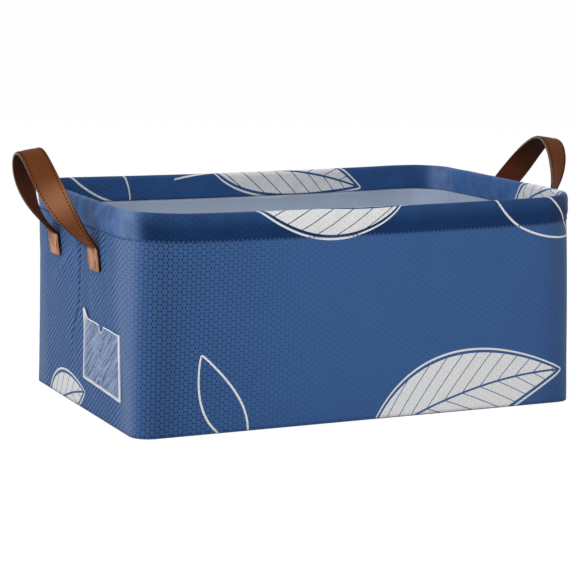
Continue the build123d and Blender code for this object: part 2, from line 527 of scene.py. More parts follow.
def join(node, inputs):
    """Sets or links a node's inputs, by name or in order. A node stands for its first output in use."""
    in_use = [socket for socket in node.inputs if socket.enabled]
    pairs = inputs.items() if isinstance(inputs, dict) else zip(in_use, inputs)
    for key, value in pairs:
        socket = node.inputs[key] if isinstance(key, str) else key
        if isinstance(value, bpy.types.Node):
            value = next(output for output in value.outputs if output.enabled)
        if isinstance(value, bpy.types.NodeSocket):
            node.id_data.links.new(value, socket)
        elif socket.type == "RGBA":
            socket.default_value = (*value, 1)
        else:
            socket.default_value = value


def add(tree, kind, inputs=(), **settings):
    """Adds a shader node with its settings and its inputs."""
    node = tree.nodes.new("ShaderNode" + kind)
    for name, value in settings.items():
        setattr(node, name, value)
    join(node, inputs)
    return node


def new_material(name):
    """Node material with its tree and its Principled shader."""
    material = bpy.data.materials.new(name)
    material.use_nodes = True
    tree = material.node_tree
    return material, tree, tree.nodes["Principled BSDF"]


def scaled(colour, share):
    """Colour with a share of its light, at most white."""
    return tuple(min(c * share, 1) for c in colour)


def mottled(tree, place, scale, detail, first, second, roughness=0.5):
    """Two tones that blend in clouds, by a noise of a scale per metre."""
    clouds = {"Vector": place, "Scale": scale, "Detail": detail, "Roughness": roughness}
    return add(tree, "Mix", (add(tree, "TexNoise", clouds), first, second), **RGBA)


# Leaves of the print: place along and up the cloth, direction, length, width, bend, filled, stem
LEAVES = (
    ((0.088, 0.016), 16, 0.190, 0.074, 1.5, 1, -1.3),
    ((-0.050, 0.180), 172, 0.150, 0.050, 1.6, 1, -1.5),
    ((0.148, 0.168), -34, 0.110, 0.036, -2.0, 0, -1.5),
    ((-0.128, 0.026), 118, 0.084, 0.030, 2.2, 0, -1.5),
    ((0.275, 0.002), 20, 0.104, 0.046, 2.0, 1, -1.3),
    ((0.250, 0.186), 200, 0.100, 0.034, 2.0, 1, -1.4),
)
# Half the leaf's outline, the blade's distance inside it, and half the gap and half the width of the veins
LEAF_LINE = 0.0009
LEAF_GAP = 0.0034
VEIN_GAP = 0.0085
VEIN_LINE = 0.0006
# Steps that draw a leaf on a bent midrib: result, kind of node, operation and inputs.
# The print comes twice on the way round
LEAF_STEPS = (
    ("away", "VectorMath", "SUBTRACT", "Flat", "Place"),
    ("near", "VectorMath", "WRAP", "away", (ROUND / 4, 1, 1), (-ROUND / 4, -1, -1)),
    ("along", "VectorMath", "DOT_PRODUCT", "near", "Along"),
    ("side", "VectorMath", "DOT_PRODUCT", "near", "Across"),
    ("square", "Math", "MULTIPLY", "along", "along"),
    ("bent", "Math", "MULTIPLY_ADD", "square", "Bend", "side"),
    ("off", "Math", "ABSOLUTE", "bent"),
    ("x", "Math", "DIVIDE", "along", "Half Length"),
    ("xx", "Math", "MULTIPLY", "x", "x"),
    ("open", "Math", "SUBTRACT", 1.0, "xx"),
    ("belly", "Math", "MAXIMUM", "open", 0.0),
    ("curve", "Math", "POWER", "belly", 0.85),
    ("lean", "Math", "MULTIPLY_ADD", "x", -0.3, 1.0),
    ("wide", "Math", "MULTIPLY", "curve", "lean"),
    ("half", "Math", "MULTIPLY", "wide", "Half Width"),
    ("inside", "Math", "SUBTRACT", "half", "off"),
    ("rim", "Math", "COMPARE", "inside", 0.0, LEAF_LINE),
    ("foot", "Math", "GREATER_THAN", "x", "Stem"),
    ("tip", "Math", "LESS_THAN", "x", 1.0),
    ("reach", "Math", "MULTIPLY", "foot", "tip"),
    ("drawn", "Math", "MULTIPLY", "rim", "reach"),
    ("blade", "Math", "GREATER_THAN", "inside", LEAF_GAP),
    ("midrib", "Math", "GREATER_THAN", "off", LEAF_LINE),
    ("slant", "Math", "MULTIPLY_ADD", "off", -1.3, "along"),
    ("rib", "Math", "PINGPONG", "slant", VEIN_GAP),
    ("vein", "Math", "GREATER_THAN", "rib", VEIN_LINE),
    ("veined", "Math", "MULTIPLY", "midrib", "vein"),
    ("white", "Math", "MULTIPLY", "blade", "veined"),
    ("filled", "Math", "MULTIPLY", "white", "Filled"),
    ("Ink", "Math", "MAXIMUM", "drawn", "filled"),
)


def leaf_group():
    """Node group that prints one leaf: white outline, a gap, and a white blade with veins."""
    if "printed_leaf" in bpy.data.node_groups:
        return bpy.data.node_groups["printed_leaf"]
    tree = bpy.data.node_groups.new("printed_leaf", "ShaderNodeTree")
    for name in ("Flat", "Place", "Along", "Across"):
        tree.interface.new_socket(name, in_out="INPUT", socket_type="NodeSocketVector")
    for name in ("Half Length", "Half Width", "Bend", "Filled", "Stem"):
        tree.interface.new_socket(name, in_out="INPUT", socket_type="NodeSocketFloat")
    tree.interface.new_socket("Ink", in_out="OUTPUT", socket_type="NodeSocketFloat")
    known = dict(tree.nodes.new("NodeGroupInput").outputs.items())
    for name, kind, operation, *inputs in LEAF_STEPS:
        known[name] = add(tree, kind, [known.get(value, value) for value in inputs], operation=operation)
    join(tree.nodes.new("NodeGroupOutput"), {"Ink": known["Ink"]})
    return tree


def leaf_print(tree, flat):
    """Ink of all the leaves on the flat cloth, from 0 to 1."""
    ink = 0.0
    for place, turn, length, width, bend, filled, stem in LEAVES:
        turn = radians(turn)
        shape = {
            "Flat": flat,
            "Place": (*place, 0),
            "Along": (cos(turn), sin(turn), 0),
            "Across": (-sin(turn), cos(turn), 0),
            "Half Length": length / 2,
            "Half Width": width / 2,
            "Bend": bend,
            "Filled": filled,
            "Stem": stem,
        }
        leaf = add(tree, "Group", shape, node_tree=leaf_group())
        ink = add(tree, "Math", (ink, leaf), operation="MAXIMUM")
    return ink


# Distances from the middle of a weave cell, in cells: where its outline starts and is full, and its hollow
CELL_OUTLINE = (0.34, 0.56)
CELL_HEART = (0.24, 0.04)


def honeycomb(tree, flat, cell):
    """Distance from the middle of the nearest cell, in cells, on columns of cells drawn a little tall."""
    size = (1 / cell, 1 / (1.15 * cell), 0)
    high = (sqrt(0.75), 0.5, 0.5)
    low = (-sqrt(0.75), -0.5, -0.5)
    even = add(tree, "VectorMath", (flat, size), operation="MULTIPLY")
    odd = add(tree, "VectorMath", (even, high), operation="ADD")
    gaps = []
    for columns in (even, odd):
        local = add(tree, "VectorMath", (columns, high, low), operation="WRAP")
        level = add(tree, "VectorMath", (local, (1, 1, 0)), operation="MULTIPLY")
        gaps.append(add(tree, "VectorMath", (level,), operation="LENGTH"))
    return add(tree, "Math", gaps, operation="MINIMUM")


def printed_polyester(name, relief, pleats):
    """Polyester dobby cloth with honeycomb cells, dyed and printed: a matt ground of small rings whose sunken
    outlines carry painted shade, faint yarn unevenness, slanted streaks on the ends, and ink that keeps the cells'
    relief and their painted shade."""
    cloth = bpy.context.scene.bin_cloth
    material, tree, shader = new_material(name)
    flat = add(tree, "UVMap", uv_map="flat")
    cell_sharpness, deep, corner_highlight, folded, lines = (
        add(tree, "Attribute", attribute_name=mark).outputs["Fac"]
        for mark in ("crisp", "deep", "pale", "streaky", "lines")
    )
    ring = honeycomb(tree, flat, cloth.cell)
    outlined = add(tree, "MapRange", (ring, *CELL_OUTLINE), **SMOOTH)
    heart = add(tree, "MapRange", (ring, *CELL_HEART), **SMOOTH)
    sunk = add(tree, "Math", (heart, 0.4, outlined), operation="MULTIPLY_ADD")
    shown = add(tree, "Math", (cell_sharpness, 0.76 * relief, 0.26 * relief), operation="MULTIPLY_ADD")
    depth = add(tree, "Math", (sunk, shown), operation="MULTIPLY")
    # Yarn and dye vary slowly over about 50 mm, and slubs over about 5 mm
    dyed = mottled(tree, flat, 20.0, 3.0, cloth.ground, scaled(cloth.ground, 1.15), 0.6)
    slub = add(tree, "TexNoise", {"Vector": flat, "Scale": 220.0, "Detail": 2.0})
    # Painted shade on the hem's long sides, from the deep mark
    hem_shaded = add(tree, "Mix", (deep, dyed, cloth.hem), **RGBA)
    # Painted highlight round the corners
    haze = add(tree, "Math", (corner_highlight, 0.17), operation="MULTIPLY")
    whitened = add(tree, "Mix", (haze, hem_shaded, cloth.sheen), **RGBA)
    # Rows of cells draw out to streaks 4 mm apart, up the ends at 37 degrees, broken every 15 mm or so
    turned = add(tree, "Mapping", {"Vector": flat, "Rotation": (0, 0, radians(127))}, vector_type="TEXTURE")
    waves = {"Vector": turned, "Scale": 0.314 / 0.004, "Distortion": 1.2, "Detail": 1.0, "Detail Scale": 0.3}
    streak = add(tree, "TexWave", waves).outputs["Fac"]
    bands = add(tree, "MapRange", (streak, 0.2, 0.8, -0.5, 0.72), **SMOOTH)
    broken = add(tree, "TexNoise", {"Vector": flat, "Scale": 75.0, "Detail": 1.0})
    shares = add(tree, "MapRange", (broken, 0.26, 0.62))
    ends = add(tree, "Math", (folded, shares), operation="MULTIPLY")
    # Painted light and shade from the lines mark join the streaks
    lit = add(tree, "Math", (bands, ends, lines), operation="MULTIPLY_ADD")
    level = add(tree, "Math", (lit, 1.0), operation="ADD")
    painted_light = add(tree, "Mix", (1.0, whitened, level), **TIMES)
    # Painted shade in the sunken outlines of the cells
    hollow = add(tree, "Math", (depth, -0.85, 1.04), operation="MULTIPLY_ADD")
    cell_shaded = add(tree, "Mix", (1.0, painted_light, hollow), **TIMES)
    shaded = add(tree, "Math", (sunk, -0.12, 1.0), operation="MULTIPLY_ADD")
    inked = add(tree, "Mix", (1.0, cloth.ink, shaded), **TIMES)
    # Handling leaves soft pulls about 12 mm wide that run up and slantwise
    slant = {"Vector": flat, "Rotation": (0, 0, radians(62)), "Scale": (0.05, 0.012, 1.0)}
    slanted = add(tree, "Mapping", slant, vector_type="TEXTURE")
    pulls = add(tree, "TexNoise", {"Vector": slanted, "Scale": 1.0, "Detail": 2.0})
    soft = add(tree, "Bump", {"Strength": 0.5, "Distance": pleats, "Height": pulls})
    cells = {"Strength": 0.5, "Distance": 0.0007, "Height": depth, "Normal": soft}
    gloss = add(tree, "Math", (deep, -0.12, 0.16), operation="MULTIPLY_ADD", use_clamp=True)
    look = {
        "Base Color": add(tree, "Mix", (leaf_print(tree, flat), cell_shaded, inked), **RGBA),
        "Roughness": add(tree, "MapRange", {"Value": slub, "To Min": 0.5, "To Max": 0.68}),
        "IOR": 1.5,
        "Specular IOR Level": gloss,
        "Sheen Weight": 0.08,
        "Sheen Roughness": 0.5,
        "Normal": add(tree, "Bump", cells, invert=True),
    }
    join(shader, look)
    return material


def plain_polyester():
    """The same honeycomb cloth unprinted, on the underside: matt navy with painted shade in the cells' outlines,
    read from object coordinates.
    """
    cloth = bpy.context.scene.bin_cloth
    material, tree, shader = new_material("plain_polyester")
    ring = honeycomb(tree, add(tree, "TexCoord").outputs["Object"], cloth.cell)
    outlined = add(tree, "MapRange", (ring, *CELL_OUTLINE), **SMOOTH)
    # Painted shade in the cells' outlines
    cell_shaded = add(tree, "Mix", (outlined, cloth.ground, scaled(cloth.ground, 0.45)), **RGBA)
    cells = add(tree, "Bump", {"Strength": 0.3, "Distance": 0.0006, "Height": outlined}, invert=True)
    join(shader, {"Base Color": cell_shaded, "Roughness": 0.8, "Specular IOR Level": 0.3, "Normal": cells})
    return material


def coated_lining():
    """Polyester coated with a grey waterproof film: smooth and slightly satin, with soft waves and a fine
    crepe, and the print from outside showing through as a faint pale ghost."""
    cloth = bpy.context.scene.bin_cloth
    material, tree, shader = new_material("coated_lining")
    flat = add(tree, "UVMap", uv_map="flat")
    coat = mottled(tree, flat, 16.0, 2.0, scaled(cloth.lining, 0.82), cloth.lining)
    ghost = add(tree, "Math", (leaf_print(tree, flat), 0.3), operation="MULTIPLY")
    through = add(tree, "Mix", (ghost, coat, cloth.ink), **RGBA)
    upright = add(tree, "Mapping", {"Vector": flat, "Scale": (60.0, 9.0, 1.0)})
    waves = add(tree, "TexNoise", {"Vector": upright, "Scale": 1.0, "Detail": 2.0})
    crepe = add(tree, "TexNoise", {"Vector": flat, "Scale": 900.0, "Detail": 1.0})
    rough = add(tree, "MapRange", {"Value": crepe, "To Min": 0.42, "To Max": 0.58})
    soft = add(tree, "Bump", {"Strength": 0.5, "Distance": 0.002, "Height": waves})
    fine = add(tree, "Bump", {"Strength": 0.2, "Distance": 0.0002, "Height": crepe, "Normal": soft})
    join(shader, {"Base Color": through, "Roughness": rough, "IOR": 1.5, "Normal": fine})
    return material


def sewing_thread(name, colour):
    """Spun polyester sewing thread: painted shade in bands between the plies of its twist, and a soft sheen."""
    material, tree, shader = new_material(name)
    place = add(tree, "TexCoord").outputs["Object"]
    plies = {"Vector": place, "Scale": 1 / 0.0009 / (2 * pi) * 2, "Distortion": 1.0}
    twist = add(tree, "TexWave", plies, wave_type="BANDS", bands_direction="DIAGONAL").outputs["Fac"]
    # Painted shade between the plies
    ply_shaded = add(tree, "Mix", (twist, scaled(colour, 0.6), colour), **RGBA)
    join(shader, {"Base Color": ply_shaded, "Roughness": 0.7, "Specular IOR Level": 0.1})
    return material


def finished_leather():
    """Cowhide dyed brown and finished with a satin top coat: fine pebble grain, slow tone changes, a painted
    highlight on the legs and painted shade along the top, and paler, crazed leather at the sewn ends, partly worn
    and partly painted light."""
    handle = bpy.context.scene.bin_handle
    material, tree, shader = new_material("finished_leather")
    flat = add(tree, "UVMap", uv_map="flat")
    low, leg_highlight, sewn = (
        add(tree, "Attribute", attribute_name=mark).outputs["Fac"] for mark in ("low", "painted_light", "sewn")
    )
    tone = add(tree, "TexNoise", {"Vector": flat, "Scale": 45.0, "Detail": 3.0, "Roughness": 0.6})
    dyed = add(tree, "Mix", (tone, scaled(handle.face, 0.72), handle.face), **RGBA)
    # Painted highlight on the legs, where they twist, and painted shade along the top of the arch
    high = add(tree, "Math", (low, -1.0, 1.0), operation="MULTIPLY_ADD")
    middle = add(tree, "Math", (low, high), operation="MULTIPLY")
    whole = add(tree, "Math", (middle, 4.0), operation="MULTIPLY")
    peak = add(tree, "Math", (whole, 5.0), operation="POWER")
    leg = add(tree, "Math", (peak, leg_highlight), operation="MULTIPLY")
    # Painted shade along the top of the arch
    held = add(tree, "Math", (high, -0.07, 1.0), operation="MULTIPLY_ADD")
    bent = add(tree, "Math", (leg, 0.4, held), operation="MULTIPLY_ADD")
    lit = add(tree, "Mix", (1.0, dyed, bent), **TIMES)
    painted_light = add(tree, "Math", (leg, 0.22), operation="MULTIPLY")
    toned = add(tree, "Mix", (painted_light, lit, handle.worn), **RGBA)
    streak = add(tree, "Mapping", {"Vector": flat, "Scale": (420.0, 60.0, 1.0)})
    crazed = add(tree, "TexNoise", {"Vector": streak, "Scale": 1.0, "Detail": 3.0})
    patchy = add(tree, "MapRange", (crazed, 0.36, 0.6, 0.05, 1.0))
    # The sewn ends pale: partly pulled and worn leather, partly painted light on tabs that face the lamp
    pulled = add(tree, "Math", (sewn, patchy), operation="MULTIPLY")
    pull = add(tree, "Math", (pulled, 0.5), operation="MULTIPLY")
    creased = add(tree, "Bump", {"Strength": 0.6, "Distance": 0.0008, "Height": pull})
    pebbles = {"Vector": flat, "Scale": 1 / handle.grain, "Randomness": 1.0}
    pebble = add(tree, "TexVoronoi", pebbles, feature="DISTANCE_TO_EDGE")
    grain = {"Strength": 0.25, "Distance": 0.0002, "Height": pebble, "Normal": creased}
    look = {
        "Base Color": add(tree, "Mix", (pulled, toned, handle.worn), **RGBA),
        "Roughness": add(tree, "MapRange", {"Value": tone, "To Min": 0.42, "To Max": 0.6}),
        "IOR": 1.5,
        "Specular IOR Level": 0.04,
        "Normal": add(tree, "Bump", grain),
    }
    join(shader, look)
    return material


def backing_leather(name, colour, rough, shade_at_top):
    """Split leather dyed through: matt and slightly furry, with short fibres, cloudy tone, and painted shade either
    at the top, under the arch, or at its lower ends."""
    material, tree, shader = new_material(name)
    place = add(tree, "TexCoord").outputs["Object"]
    dyed = mottled(tree, place, 60.0, 2.0, scaled(colour, 0.6), colour)
    # Painted shade, at the top or at the lower ends
    shade_mask = add(tree, "Attribute", attribute_name="low").outputs["Fac"]
    if shade_at_top:
        shade_mask = add(tree, "MapRange", (shade_mask, 0.45, 0, 0, 0.75))
    shaded_leather = add(tree, "Mix", (shade_mask, dyed, bpy.context.scene.bin_handle.strap_shade), **RGBA)
    fibre = add(tree, "TexNoise", {"Vector": place, "Scale": 700.0, "Detail": 2.0})
    nap = add(tree, "Bump", {"Strength": 0.3, "Distance": 0.0002, "Height": fibre})
    join(shader, {"Base Color": shaded_leather, "Roughness": rough, "Specular IOR Level": 0.12, "Normal": nap})
    return material


def clear_vinyl():
    """Flexible clear PVC, calendered: a pale haze, long soft gloss streaks, and a painted highlight along its top
    cut edge and on its lifted corner.
    """
    label = bpy.context.scene.bin_label
    material, tree, shader = new_material("clear_vinyl")
    flat = add(tree, "UVMap", uv_map="flat")
    up = add(tree, "SeparateXYZ", (flat,)).outputs["Y"]
    # Painted highlight along the film's top cut edge
    edge = add(tree, "Math", (up, -0.0009), operation="GREATER_THAN")
    strained = add(tree, "Attribute", attribute_name="strained").outputs["Fac"]
    white = add(tree, "Math", (strained, edge), operation="MAXIMUM")
    slant = {"Vector": flat, "Rotation": (0, 0, radians(141)), "Scale": (0.04, 0.0026, 1.0)}
    slanted = add(tree, "Mapping", slant, vector_type="TEXTURE")
    streaks = add(tree, "TexNoise", {"Vector": slanted, "Scale": 1.0, "Detail": 3.0})
    haze = add(tree, "MapRange", (streaks, 0.38, 0.66, 0.12, 0.64))
    look = {
        "Base Color": add(tree, "Mix", (white, label.film, label.edging), **RGBA),
        "Alpha": add(tree, "Math", (haze, white), operation="MAXIMUM"),
        "Roughness": 0.22,
        "IOR": 1.53,
        "Normal": add(tree, "Bump", {"Strength": 0.5, "Distance": 0.001, "Height": streaks}),
    }
    join(shader, look)
    return material


def white_vinyl():
    """White vinyl tape, extruded: smooth satin with faint grey scuffs."""
    tone = bpy.context.scene.bin_label.edging
    material, tree, shader = new_material("white_vinyl")
    place = add(tree, "TexCoord").outputs["Object"]
    tape = mottled(tree, place, 130.0, 3.0, tone, scaled(tone, 0.82))
    join(shader, {"Base Color": tape, "Roughness": 0.4, "IOR": 1.53})
    return material


def grey_board():
    """Recycled grey board, pressed from pulp: matt, flecked with darker fibres."""
    material, tree, shader = new_material("grey_board")
    place = add(tree, "TexCoord").outputs["Object"]
    pulp = mottled(tree, place, 320.0, 4.0, srgb("7b7a76"), srgb("a3a19b"), 0.7)
    join(shader, {"Base Color": pulp, "Roughness": 0.9})
    return material


def drawn_wire():
    """Mild steel wire, drawn and zinc plated: bright grey with fine marks along it."""
    material, tree, shader = new_material("drawn_wire")
    place = add(tree, "TexCoord").outputs["Object"]
    plated = mottled(tree, place, 400.0, 3.0, srgb("9a9da1"), srgb("c6c9cc"))
    join(shader, {"Base Color": plated, "Metallic": 1.0, "Roughness": 0.35})
    return material


class STORAGE_BIN_OT_walls(Operator):
    """Wraps the printed cloth round the bin, from the base seam to the hem seam"""

    bl_idname = "storage_bin.walls"
    bl_label = "Cloth walls"

    def execute(self, context):
        def shape(share, up):
            z = CLOTH + WALL_RISE * up
            return tub_point(along_crease(share, z), z, 0)

        def cut(share, up):
            z = CLOTH + WALL_RISE * up
            return (along_crease(share, z) - 0.5) * ROUND, z

        # Painted light and shade: darker round a corner on the long wall, a painted highlight along each end's
        # slack line, and painted shade in its crease
        def lines(share, up):
            if abs(facing(share).x) < 0.99:
                return turning(share)
            place = shape(share, up)
            off, length, slant, window = end_lines(place.y, place.z)
            dark = bell(off, 0.0014) - 0.5 * bell(off + 0.0034, 0.0015)
            return 0.45 * window * bell(slant, 0.0018) - 0.7 * length * dark

        bm = wrapped_sheet(WALL_MESH, shape, cut, crisp=crisp, streaky=streaky, pale=pale, lines=lines)
        piece = finished(bm, "wall_cloth", printed_polyester("printed_polyester", 0.95, 0.0011))
        thicken(piece, CLOTH)
        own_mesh(piece)
        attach(piece, "bin")
        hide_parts("front_panel", "back_panel", "left_end_panel", "right_end_panel")
        return {"FINISHED"}


class STORAGE_BIN_OT_linings(Operator):
    """Wraps the coated lining inside the walls"""

    bl_idname = "storage_bin.linings"
    bl_label = "Lining walls"

    def execute(self, context):
        def shape(share, up):
            z = CLOTH + WALL_RISE * up
            return tub_point(along_crease(share, z), z, WALL, lining=True)

        def cut(share, up):
            return (share - 0.5) * ROUND, CLOTH + WALL_RISE * up

        bm = wrapped_sheet(LINING_MESH, shape, cut)
        bmesh.ops.reverse_faces(bm, faces=bm.faces)
        piece = finished(bm, "wall_lining", coated_lining())
        thicken(piece, LINING)
        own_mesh(piece)
        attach(piece, "bin")
        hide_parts("front_lining", "back_lining", "left_end_lining", "right_end_lining")
        return {"FINISHED"}


class STORAGE_BIN_OT_hem(Operator):
    """Folds the cloth over the rim wire and sews it down"""

    bl_idname = "storage_bin.hem"
    bl_label = "Hem and wire"

    def execute(self, context):
        cloth = context.scene.bin_cloth

        def wrinkle(share, way):
            inset, z = hem_profile(way)
            place = tub_point(share, z, inset)
            slanted = 0.35 * z * sign_of(facing(share).y)
            spot = Vector((place.x * 70, (place.y + slanted) * 70, way * 3))
            return place, noise.noise(spot) + 0.5 * noise.noise(spot * 2.1)

        def fold(share, way):
            place, height = wrinkle(share, way)
            outward = facing(share)
            loose = sin(pi * clamp((way - 0.06) / 0.88))
            most = 0.0007 + 0.0013 * ease(abs(outward.x), 0.4, 0.9)
            over_wire = 0.00012 + 0.002 * ease(HEIGHT - place.z, 0.006, 0.011)
            return place + max(min(most * loose * height, over_wire), -over_wire) * outward.to_3d()

        def cut(share, way):
            return (share - 0.5) * ROUND, HEM_BOTTOM + way * HEM_WIDTH

        # Painted light and shade on the hem: darker round a corner on the long wall, lighter on its inner face, and
        # lighter or darker with the wrinkles' rise
        def hem_painted_light(share, way):
            end = ease(abs(facing(share).x), 0.5, 0.95)
            inside = (0.22 + 0.14 * end) * ease(way, 0.5, 0.65)
            return turning(share) + inside + (0.12 + 0.28 * end) * wrinkle(share, way)[1]

        # Painted shade on the hem: darkest on the outer face of the long sides, half as dark on their inner face,
        # none round the corners and ends
        def deep(share, way):
            long_side = ease(abs(facing(share).y), 0.45, 0.74)
            inside = ease(way, 0.45, 0.6)
            outside = long_side * (1 - 0.35 * ease(way, 0.15, 0.45))
            return outside * (1 - inside) + inside * 0.5 * long_side

        bm = wrapped_sheet(HEM_MESH, fold, cut, crisp=crisp, pale=pale, deep=deep, lines=hem_painted_light)
        piece = finished(bm, "hem_cloth", printed_polyester("printed_polyester_hem", 0.45, 0.0024))
        thicken(piece, CLOTH)
        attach(piece, "rim")
        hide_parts("rim_hem")

        bm = bmesh.new()
        count = round(ROUND / cloth.stitch)
        seam = HEM_BOTTOM + HEM_THREAD_OUT
        for index in range(count):
            share = (index + 0.5) / count
            place = tub_point(share, seam, -HEM_THREAD_OUT)
            ahead = tub_point(share + 0.2 / count, seam, -HEM_THREAD_OUT)
            add_stitch(bm, place, UP, (ahead - place).normalized(), *HEM_STITCH)
        thread = finished(bm, "hem_stitches", sewing_thread("hem_thread", cloth.thread))
        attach(thread, "rim")

        def ring(share, way):
            turn = 2 * pi * way
            place = tub_point(share, BEAD_MIDDLE, BEAD_RADIUS - WIRE_RADIUS * cos(turn))
            return place + UP * (WIRE_RADIUS * sin(turn))

        bm = wrapped_sheet(WIRE_MESH, ring, lambda share, way: (share * ROUND, way * 2 * pi * WIRE_RADIUS))
        wire = finished(bm, "wire_ring", drawn_wire())
        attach(wire, "rim")
        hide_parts("rim_wire")
        return {"FINISHED"}


def rounded_plate(mesh, inset, height):
    """Flat sheet with the base's outline, its corners drawn in to the base's radius."""
    bm, _ = new_grid(*mesh)
    side = BASE_LENGTH / 2 - inset
    end = BASE_DEPTH / 2 - inset
    radius = BASE_RADIUS - inset
    for vert in bm.verts:
        x = vert.co.x * 2 * side
        y = vert.co.y * 2 * end
        over_x = max(abs(x) - side + radius, 0)
        over_y = max(abs(y) - end + radius, 0)
        pull = 1
        if over_x and over_y:
            pull = max(over_x, over_y) / hypot(over_x, over_y)
        x -= (1 - pull) * over_x * sign_of(x)
        y -= (1 - pull) * over_y * sign_of(y)
        rim = min(side - abs(x), end - abs(y), radius - hypot(over_x, over_y) * pull)
        vert.co = (x, y, height(x, y, max(rim, 0)))
    lay_flat(bm, lambda vert: vert.co.xy)
    return bm


class STORAGE_BIN_OT_base(Operator):
    """Lays the base cloth under the board and the base lining over it"""

    bl_idname = "storage_bin.base"
    bl_label = "Base"

    def execute(self, context):
        def lifted(x, y, rim):
            return 0.0004 * (1 - ease(rim, 0, 0.003))

        def bed(x, y, rim):
            swell = noise.noise(Vector((x * 17, y * 17, 3)))
            level = BOARD_TOP + LINING + 0.0006
            return level + 0.0006 * swell * ease(rim, 0, 0.03) + 0.002 * ease(rim, 0.004, 0)

        bm = rounded_plate(BASE_MESH, 0, lifted)
        bmesh.ops.reverse_faces(bm, faces=bm.faces)
        piece = finished(bm, "base_cloth", plain_polyester())
        thicken(piece, CLOTH)
        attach(piece, "bin")
        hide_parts("base_panel")

        # The base lining, which the walls hide from the camera, takes the coated lining material of the walls
        bm = rounded_plate(BED_MESH, BOARD_INSET, bed)
        lining = finished(bm, "base_lining_sheet", bpy.data.materials["coated_lining"])
        thicken(lining, LINING)
        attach(lining, "bin")
        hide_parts("base_lining")

        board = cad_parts["base_board"]
        board.data.materials.clear()
        board.data.materials.append(grey_board())
        return {"FINISHED"}


def strap_point(angle, lean):
    """Point on the left strap's outer face, from the front crease at 0 to the rear one at 180 degrees."""
    rise = max(sin(radians(angle)), 0) ** 1.345
    bow = 4 * rise * (1 - rise)
    along = Vector((-sin(lean), 0, cos(lean))) * (STRAP_RISE * rise)
    outward = Vector((-cos(lean), 0, -sin(lean))) * (STRAP_BOW * bow)
    middle = (FRONT_FOOT + REAR_FOOT) / 2
    across = Vector((0, middle - (REAR_FOOT - FRONT_FOOT) / 2 * cos(radians(angle)), 0))
    return Vector((-HINGE, 0, TAB_TOP)) + along + outward + across


def strap_places(tab_steps, arch_steps, lean):
    """Frames along the left strap: point on the outer face, directions across and into it, half its width,
    how far it is sewn down, and how near it is to its sewn end."""
    places = []
    tilt = atan2(CREASE_OFFSET, TAB_HEIGHT)
    front = Vector((0, -1, 0))
    into = Vector((cos(tilt), 0, sin(tilt)))
    for step in range(tab_steps):
        up = TAB_HEIGHT * step / tab_steps
        out = TAB_CLEARANCE + STRAP + CREASE_OFFSET * up / TAB_HEIGHT
        point = Vector((-end_wall(TAB_FOOT + up) - out, FRONT_FOOT, TAB_FOOT + up))
        places.append((point, front, into, (STRAP_WIDTH + STRAP_FOOT_WIDER) / 2, 1.0, 1.0))
    rear = [(Vector((p.x, REAR_FOOT, p.z)), -w, d, *rest) for p, w, d, *rest in reversed(places)]
    top = Vector((cos(STRAP_TOP_TILT), 0, sin(STRAP_TOP_TILT)))
    for step in range(arch_steps + 1):
        angle = 180 * step / arch_steps
        along = strap_point(min(angle + 0.5, 180), lean) - strap_point(max(angle - 0.5, 0), lean)
        along.normalize()
        near = min(angle, 180 - angle)
        turned = min(near / STRAP_TWIST_END, 1)
        twist = pi / 2 * (0.66 * ease(turned, 0, 1) + 0.34 * (1 - (1 - turned) ** 2))
        foot = Vector((0, -1 if angle < 90 else 1, 0))
        wide = foot * cos(twist) + top * sin(twist)
        wide = (wide - along * wide.dot(along)).normalized()
        half = (STRAP_WIDTH + STRAP_FOOT_WIDER * (1 - ease(near, 0, 40))) / 2
        sewn = 1 - ease(near, 1, 4)
        low = 1 - ease(near, 3, 74)
        places.append((strap_point(angle, lean), wide, along.cross(wide), half, sewn, low))
    return places + rear


def strap_section(turn, half):
    """Across and into the strap at an angle round its section, with rounded edges and sewn grooves."""
    across = half * abs(cos(turn)) ** 0.3 * sign_of(cos(turn))
    level = abs(sin(turn)) ** 0.3 * sign_of(sin(turn))
    row = half - bpy.context.scene.bin_handle.margin
    groove = 0.00035 * bell(abs(across) - row, 0.0009)
    crown = 0.0003 * max(0, 1 - (across / row) ** 2)
    return across, STRAP / 2 * (1 - level) + (groove - crown) * level


